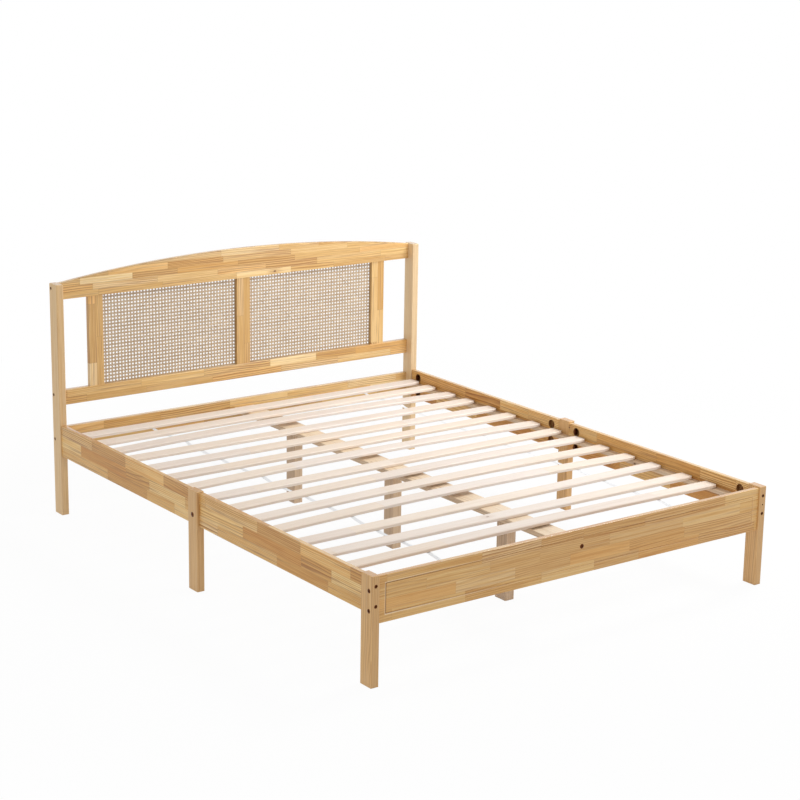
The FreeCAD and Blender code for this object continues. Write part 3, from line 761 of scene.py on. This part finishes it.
def lay_tape(side):
    """One tape, a thin strip with four corners at each step of its line."""
    node = "slat_ribbon_" + side
    low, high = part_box(node)
    path = tape_line(node)
    points, faces, strip, run = [], [], [], 0.0
    half = TAPE_THICK / 2
    corners = ((low.x, half), (high.x, half), (high.x, -half), (low.x, -half))
    for i, (y, z) in enumerate(path):
        if i:
            run += math.hypot(y - path[i - 1][0], z - path[i - 1][1])
            a, b = 4 * (i - 1), 4 * i
            faces += [(a + k, a + (k + 1) % 4, b + (k + 1) % 4, b + k) for k in range(4)]
        points += [(x, y, z + up) for x, up in corners]
        strip += [((x - low.x) / (high.x - low.x), run) for x, up in corners]
    last = 4 * (len(path) - 1)
    faces += [(3, 2, 1, 0), (last, last + 1, last + 2, last + 3)]
    made = make_piece("slat_tape_" + side, points, faces, tape, "slat_roll", "white_tape", node)
    lay_strip(made, strip)
    made.data.shade_flat()
    print(made.name, round(run, 3), "m of tape,", len(path), "steps")


for side in ("left", "right"):
    lay_tape(side)

# %% [markdown]
# Bolts, rods and nuts are browned steel: dark, half glossy and a little worn to bronze. Two noises make it,
# a cloud for the uneven browning and a finer speck for the grain of the metal. The shader's metal setting
# does the rest, since it takes its reflections from the studio around it.

# %% Browned steel
CLOUD_SCALE, SPECK_SCALE, SPECK_DEEP = 420.0, 2600.0, 0.00006
CLOUD_SHARE, SPECK_SHARE = 0.80, 0.25  # of cloud and speck in the tone
STEEL_ROUGH, CLOUD_ROUGH = 0.24, 0.22
STEEL_TONES = [(0.3, paint(70, 34, 17)), (0.6, paint(104, 60, 34)), (0.85, paint(160, 108, 68))]


def browned_steel():
    """The finish of everything that is metal."""
    material, wire = new_finish("browned_steel")
    spot = wire.node("TexCoord", out="Object")
    cloud = wire.node("TexNoise", {}, {"Vector": spot, "Scale": CLOUD_SCALE, "Detail": 4.0})
    speck = wire.node("TexNoise", {}, {"Vector": spot, "Scale": SPECK_SCALE, "Detail": 2.0})
    shade = cloud * CLOUD_SHARE + speck * SPECK_SHARE
    colour = wire.node("ValToRGB", {"stops": STEEL_TONES}, {0: shade})
    finish_off(wire, colour, STEEL_ROUGH + cloud * CLOUD_ROUGH, speck, SPECK_DEEP, {"Metallic": 1.0})
    return material


steel = browned_steel()
for node in ("mid_leg_rods", "half_moon_nuts"):
    dress(node, steel)
print("steel:", len(steel.node_tree.nodes), "nodes")

# %% [markdown]
# Furniture bolts hold the frame together. In CAD they are plain prisms with few sides, so here they are
# turned anew, and that needs their lines first. A CAD piece holds several bolts: walking along its edges
# from point to point parts them. The longest way through a bolt is its axis, and its widest point tells the
# head's end.

# %% Find the bolts
WELD = 1e-5  # points nearer than this are one point


def islands(node):
    """The separate solids of a CAD piece, as lists of points."""
    mesh = bmesh.new()
    mesh.from_mesh(nodes[node].data)
    bmesh.ops.remove_doubles(mesh, verts=mesh.verts, dist=WELD)
    waiting, found = set(mesh.verts), []
    while waiting:
        front, group = [waiting.pop()], []
        while front:
            vertex = front.pop()
            group.append(vertex.co.copy())
            for edge in vertex.link_edges:
                other = edge.other_vert(vertex)
                if other in waiting:
                    waiting.remove(other)
                    front.append(other)
        found.append(group)
    mesh.free()
    return sorted(found, key=lambda group: tuple(round(c, 4) for c in min(group, key=tuple)))


def bolt_line(group):
    """Middle of the head's face, the way in, the length and the head's radius of one bolt."""
    low, high = span(group)
    middle = (low + high) / 2
    axis = max(range(3), key=lambda k: high[k] - low[k])

    def off_axis(point):
        across = point - middle
        across[axis] = 0.0
        return across.length

    widest = max(group, key=off_axis)
    inward = 1.0 if widest[axis] < middle[axis] else -1.0
    head, way = middle.copy(), Vector()
    head[axis] = low[axis] if inward > 0 else high[axis]
    way[axis] = inward
    return head, way, high[axis] - low[axis], off_axis(widest)


BOLTS = ("headboard_bolts", "side_rail_bolts_head", "side_rail_bolts_foot", "foot_rail_bolts",
         "mid_leg_cross_bolts", "beam_bolts")
bolt_lines = {node: [bolt_line(group) for group in islands(node)] for node in BOLTS}
print("bolts:", {node: len(lines) for node, lines in bolt_lines.items()})

# %% [markdown]
# Most heads are flat and lie just below the wood's face; three kinds are wider buttons that lie on it. All
# have a six-sided hole for the key. As on a lathe, a bolt is rings of points along its axis, from the
# bottom of the key hole out over the head and down the shank; only the first two rings are six-sided.

# %% Turn the bolts anew
TURN = 24  # points round a bolt
KEY_R, KEY_DEEP = 0.0030, 0.0020  # six-sided hole, to its corners
HEAD_DEEP, SHANK_R, TIP_R, TIP_LONG = 0.0025, 0.0030, 0.0022, 0.001
FLAT_RIM = [(0.0014, 0.0), (0.0005, 0.0002), (0.0, 0.0008)]  # in from the rim, below the face
BUTTON_RIM = [(0.0016, 0.0008), (0.0003, 0.0003), (0.0, 0.0)]  # in from the rim, above the wood
CROWN, CROWN_R, CROWN_EDGE = 0.0014, 0.0045, 0.0013  # the button's middle, above the wood
NECK = 0.0003  # the button's neck is this much slimmer than its hole
BUTTON_LIFT = 0.0009  # from a sunk head's face to just above the wood
# Heads that lie on the wood, and how much wider they are than in CAD.
BUTTONS = {"beam_bolts": 0.002, "mid_leg_cross_bolts": 0.001, "foot_rail_bolts": 0.0012}
SHARP = math.radians(35)  # edges sharper than this stay crisp


def hex_radius(angle):
    """Distance from the middle to the side of a six-sided hole."""
    return KEY_R * math.cos(math.pi / 6) / math.cos((angle % (math.pi / 3)) - math.pi / 6)


def head_rings(radius, wider):
    """Rings of a head, as distance from the axis and depth; "hex" stands for the key hole."""
    if not wider:
        return [("hex", KEY_DEEP), ("hex", 0.0)] + [(radius - i, deep) for i, deep in FLAT_RIM]
    top = -BUTTON_LIFT
    crown = [("hex", top - CROWN + KEY_DEEP), ("hex", top - CROWN), (CROWN_R, top - CROWN_EDGE)]
    rim = [(radius + wider - i, top - high) for i, high in BUTTON_RIM]
    return crown + rim + [(radius - NECK, top), (radius - NECK, 0.0)]


def turned_bolt(head, way, length, radius, wider, points, faces):
    """Rings from the bottom of the key hole, out over the head and down the shank."""
    first = len(points)
    turn = Vector((0, 0, 1)).rotation_difference(way).to_matrix()
    rings = head_rings(radius, wider)
    rings += [(radius, HEAD_DEEP), (SHANK_R, HEAD_DEEP), (SHANK_R, length - TIP_LONG), (TIP_R, length)]
    for out, depth in rings:
        for k in range(TURN):
            angle = 2 * math.pi * k / TURN
            r = hex_radius(angle) if out == "hex" else out
            local = Vector((r * math.cos(angle), r * math.sin(angle), depth))
            points.append(tuple(head + turn @ local))
    for ring in range(len(rings) - 1):
        a, b = first + ring * TURN, first + (ring + 1) * TURN
        faces += [(a + k, b + k, b + (k + 1) % TURN, a + (k + 1) % TURN) for k in range(TURN)]
    last = first + (len(rings) - 1) * TURN
    faces.append(tuple(first + k for k in range(TURN)))
    faces.append(tuple(last + k for k in reversed(range(TURN))))


for node, lines in bolt_lines.items():
    points, faces = [], []
    for line in lines:
        turned_bolt(*line, BUTTONS.get(node, 0.0), points, faces)
    made = make_piece("turned_" + node, points, faces, steel, "bed_frame", "dark_bronze", node)
    made.data.set_sharp_from_angle(angle=SHARP)
    print(made.name, len(faces), "faces")

# %% [markdown]
# The ledgers that carry the slats are screwed to the side rails at even steps. A screw shows only its
# flat head with a cross for the driver, so only heads are made: a shallow cone sunk level with the wood,
# its top filled between the round rim and the cross, and the cross pressed in.

# %% Ledger screws
SCREW_R, SCREW_SINK = 0.0038, 0.0002
CROSS_HALF, CROSS_ARM, CROSS_DEEP, CROSS_TAPER = 0.0005, 0.0021, 0.0014, 0.7
SCREW_FIRST, SCREW_STEP, SCREW_COUNT = -0.807, 0.158, 12


def cross_outline():
    """The twelve corners of a cross, anticlockwise."""
    a, h = CROSS_ARM, CROSS_HALF
    return [(a, -h), (a, h), (h, h), (h, a), (-h, a), (-h, h), (-a, h), (-a, -h),
            (-h, -h), (-h, -a), (h, -a), (h, -h)]


def screw_head(mesh, middle, inward):
    """A sunk head whose face looks away from the wood."""
    def put(u, v, depth):
        return mesh.verts.new((middle.x + inward * depth, middle.y + u, middle.z + v))
    angles = [2 * math.pi * k / TURN for k in range(TURN)]
    rim = [put(SCREW_R * math.cos(angle), SCREW_R * math.sin(angle), SCREW_SINK) for angle in angles]
    tip = put(0.0, 0.0, SCREW_SINK + SCREW_R)
    top = [put(u, v, SCREW_SINK) for u, v in cross_outline()]
    floor = [put(u * CROSS_TAPER, v * CROSS_TAPER, SCREW_SINK + CROSS_DEEP) for u, v in cross_outline()]
    edges = []
    for loop in (rim, top):
        edges += [mesh.edges.new((loop[k - 1], loop[k])) for k in range(len(loop))]
    bmesh.ops.triangle_fill(mesh, edges=edges, use_beauty=True)
    for k in range(TURN):
        mesh.faces.new((rim[k - 1], rim[k], tip))
    for k in range(len(top)):
        mesh.faces.new((top[k - 1], top[k], floor[k], floor[k - 1]))
    mesh.faces.new(floor)


for side, inward in (("left", -1.0), ("right", 1.0)):
    low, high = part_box("slat_ledger_" + side)
    inner = high.x if inward < 0 else low.x
    mesh = bmesh.new()
    for k in range(SCREW_COUNT):
        screw_head(mesh, Vector((inner, SCREW_FIRST + k * SCREW_STEP, (low.z + high.z) / 2)), inward)
    bmesh.ops.recalc_face_normals(mesh, faces=mesh.faces)
    made = make_piece("ledger_screws_" + side, [], [], steel, "bed_frame", "dark_bronze")
    mesh.to_mesh(made.data)
    mesh.free()
    print(made.name, SCREW_COUNT, "screws")

# %% [markdown]
# The picture is taken in a white studio: the floor runs into the background without a line. A floor that
# is simply lit would show grey, so for the camera it mostly glows at plain white and keeps a part of its
# real shading, which is where the soft shadow under the bed comes from. The glow counts for the camera
# and for mirror-like rays only, so it puts no extra light on the wood. The sky does the same: white to
# look at, weaker as a light.

# %% Floor and backdrop
GLOW = 0.95  # share of plain white in the floor near the bed
SHADE_REACH = 1.6, 3.4  # from here to there the floor turns wholly white
FLOOR_HALF, FLOOR_DROP = 40.0, 0.0005  # half its width, and its depth below the legs
FLOOR_PAINT, WHITE = (0.9, 0.9, 0.9, 1.0), (1.0, 1.0, 1.0, 1.0)
SKY = 0.70  # strength of the sky as a light


def seen_directly(wire):
    """1 for rays from the camera, off something shiny or through glass, otherwise 0."""
    rays = ("Is Camera Ray", "Is Glossy Ray", "Is Transmission Ray")
    camera, glossy, through = wire.node("LightPath", out=rays)
    return camera.larger(glossy.larger(through))


def studio_floor():
    """The finish of the floor."""
    material, wire = new_finish("studio_floor")
    matt = wire.node("BsdfDiffuse", {}, {"Color": FLOOR_PAINT})
    glow = wire.node("Emission", {}, {"Color": WHITE, "Strength": 1.0})
    spot = wire.node("TexCoord", out="Object")
    away = wire.node("VectorMath", {"operation": "LENGTH"}, {0: spot}, out="Value")
    share = away.ease(*SHADE_REACH) * (1 - GLOW) + GLOW
    shown = wire.node("MixShader", {}, {0: seen_directly(wire) * share, 1: matt, 2: glow})
    wire.node("OutputMaterial", {}, {"Surface": shown})
    return material


mesh = bpy.data.meshes.new("studio_floor")
corners = ((-1, -1), (1, -1), (1, 1), (-1, 1))
mesh.from_pydata([(x * FLOOR_HALF, y * FLOOR_HALF, -FLOOR_DROP) for x, y in corners], [], [(0, 1, 2, 3)])
mesh.materials.append(studio_floor())
floor = bpy.data.objects.new("studio_floor", mesh)
bpy.context.scene.collection.objects.link(floor)

world = bpy.data.worlds.new("studio")
bpy.context.scene.world = world
world.use_nodes = True
world.node_tree.nodes.clear()
wire = Wire(world.node_tree)
sky = wire.node("Background", {}, {"Color": WHITE, "Strength": SKY})
white = wire.node("Background", {}, {"Color": WHITE, "Strength": 1.0})
both = wire.node("MixShader", {}, {0: seen_directly(wire), 1: sky, 2: white})
wire.node("OutputWorld", {}, {"Surface": both})
print("floor", 2 * FLOOR_HALF, "m wide, sky at", SKY)

# %% [markdown]
# The main lamp is a round softbox high up to the right of the bed. It lights the slats from above and falls
# on the headboard at a slant, so that rails and stiles throw a soft shadow on the cane. A small weak one in
# front has a grid over it, as a photographer would say, and brightens little but the headboard. The foot
# rail is left to the light of the sky, which is why it shows a shade darker.

# %% Lamps
def softbox(name, place, aim, size, power, spread=180.0):
    """A round lamp that looks at a point; a small spread is a grid in front of it."""
    light = bpy.data.lights.new(name, "AREA")
    light.shape, light.size, light.energy = "DISK", size, power
    light.spread = math.radians(spread)
    lamp = bpy.data.objects.new(name, light)
    lamp.location = place
    lamp.rotation_mode = "QUATERNION"
    lamp.rotation_quaternion = (Vector(aim) - Vector(place)).to_track_quat("-Z", "Y")
    bpy.context.scene.collection.objects.link(lamp)
    print(name, power, "W")


softbox("softbox_over", place=(2.1, -0.5, 2.8), aim=(0.0, 0.2, 0.35), size=1.2, power=53.0)
softbox("softbox_head", place=(1.5, -2.2, 1.5), aim=(0.30, 1.0, 0.74), size=1.0, power=2.4, spread=46.0)

# %% [markdown]
# The camera stands to the left of the foot end, above head height and about seven metres away with a long
# lens, which is why the bed's edges stay nearly parallel. Its place, heading, tilt and the small roll were
# solved from straight edges in the photograph, so the frame needs no shift of the lens.

# %% Camera
CAMERA_AT = Vector((-4.115, -5.601, 2.377))
HEADING, TILT, ROLL = math.radians(36.47), math.radians(14.71), math.radians(-0.96)
LENS, SENSOR, FAR = 90.09, 36.0, 200.0  # millimetres, millimetres, and metres that it can see
camera = bpy.data.objects.new("camera", bpy.data.cameras.new("camera"))
camera.data.lens, camera.data.sensor_width, camera.data.clip_end = LENS, SENSOR, FAR
ahead = Vector((math.sin(HEADING) * math.cos(TILT), math.cos(HEADING) * math.cos(TILT), -math.sin(TILT)))
level = Vector((math.cos(HEADING), -math.sin(HEADING), 0.0))
down = ahead.cross(level)
right = level * math.cos(ROLL) + down * math.sin(ROLL)
below = down * math.cos(ROLL) - level * math.sin(ROLL)
turn = Matrix((right, -below, -ahead)).transposed()
camera.matrix_world = Matrix.Translation(CAMERA_AT) @ turn.to_4x4()
bpy.context.scene.collection.objects.link(camera)
bpy.context.scene.camera = camera
bpy.context.scene.view_settings.view_transform = "Standard"
print("camera at", [round(c, 2) for c in CAMERA_AT], "-", round(CAMERA_AT.length, 1), "m from the bed")

# %% [markdown]
# Last, the scene is brought up to date.

# %% Finish
bpy.context.view_layer.update()
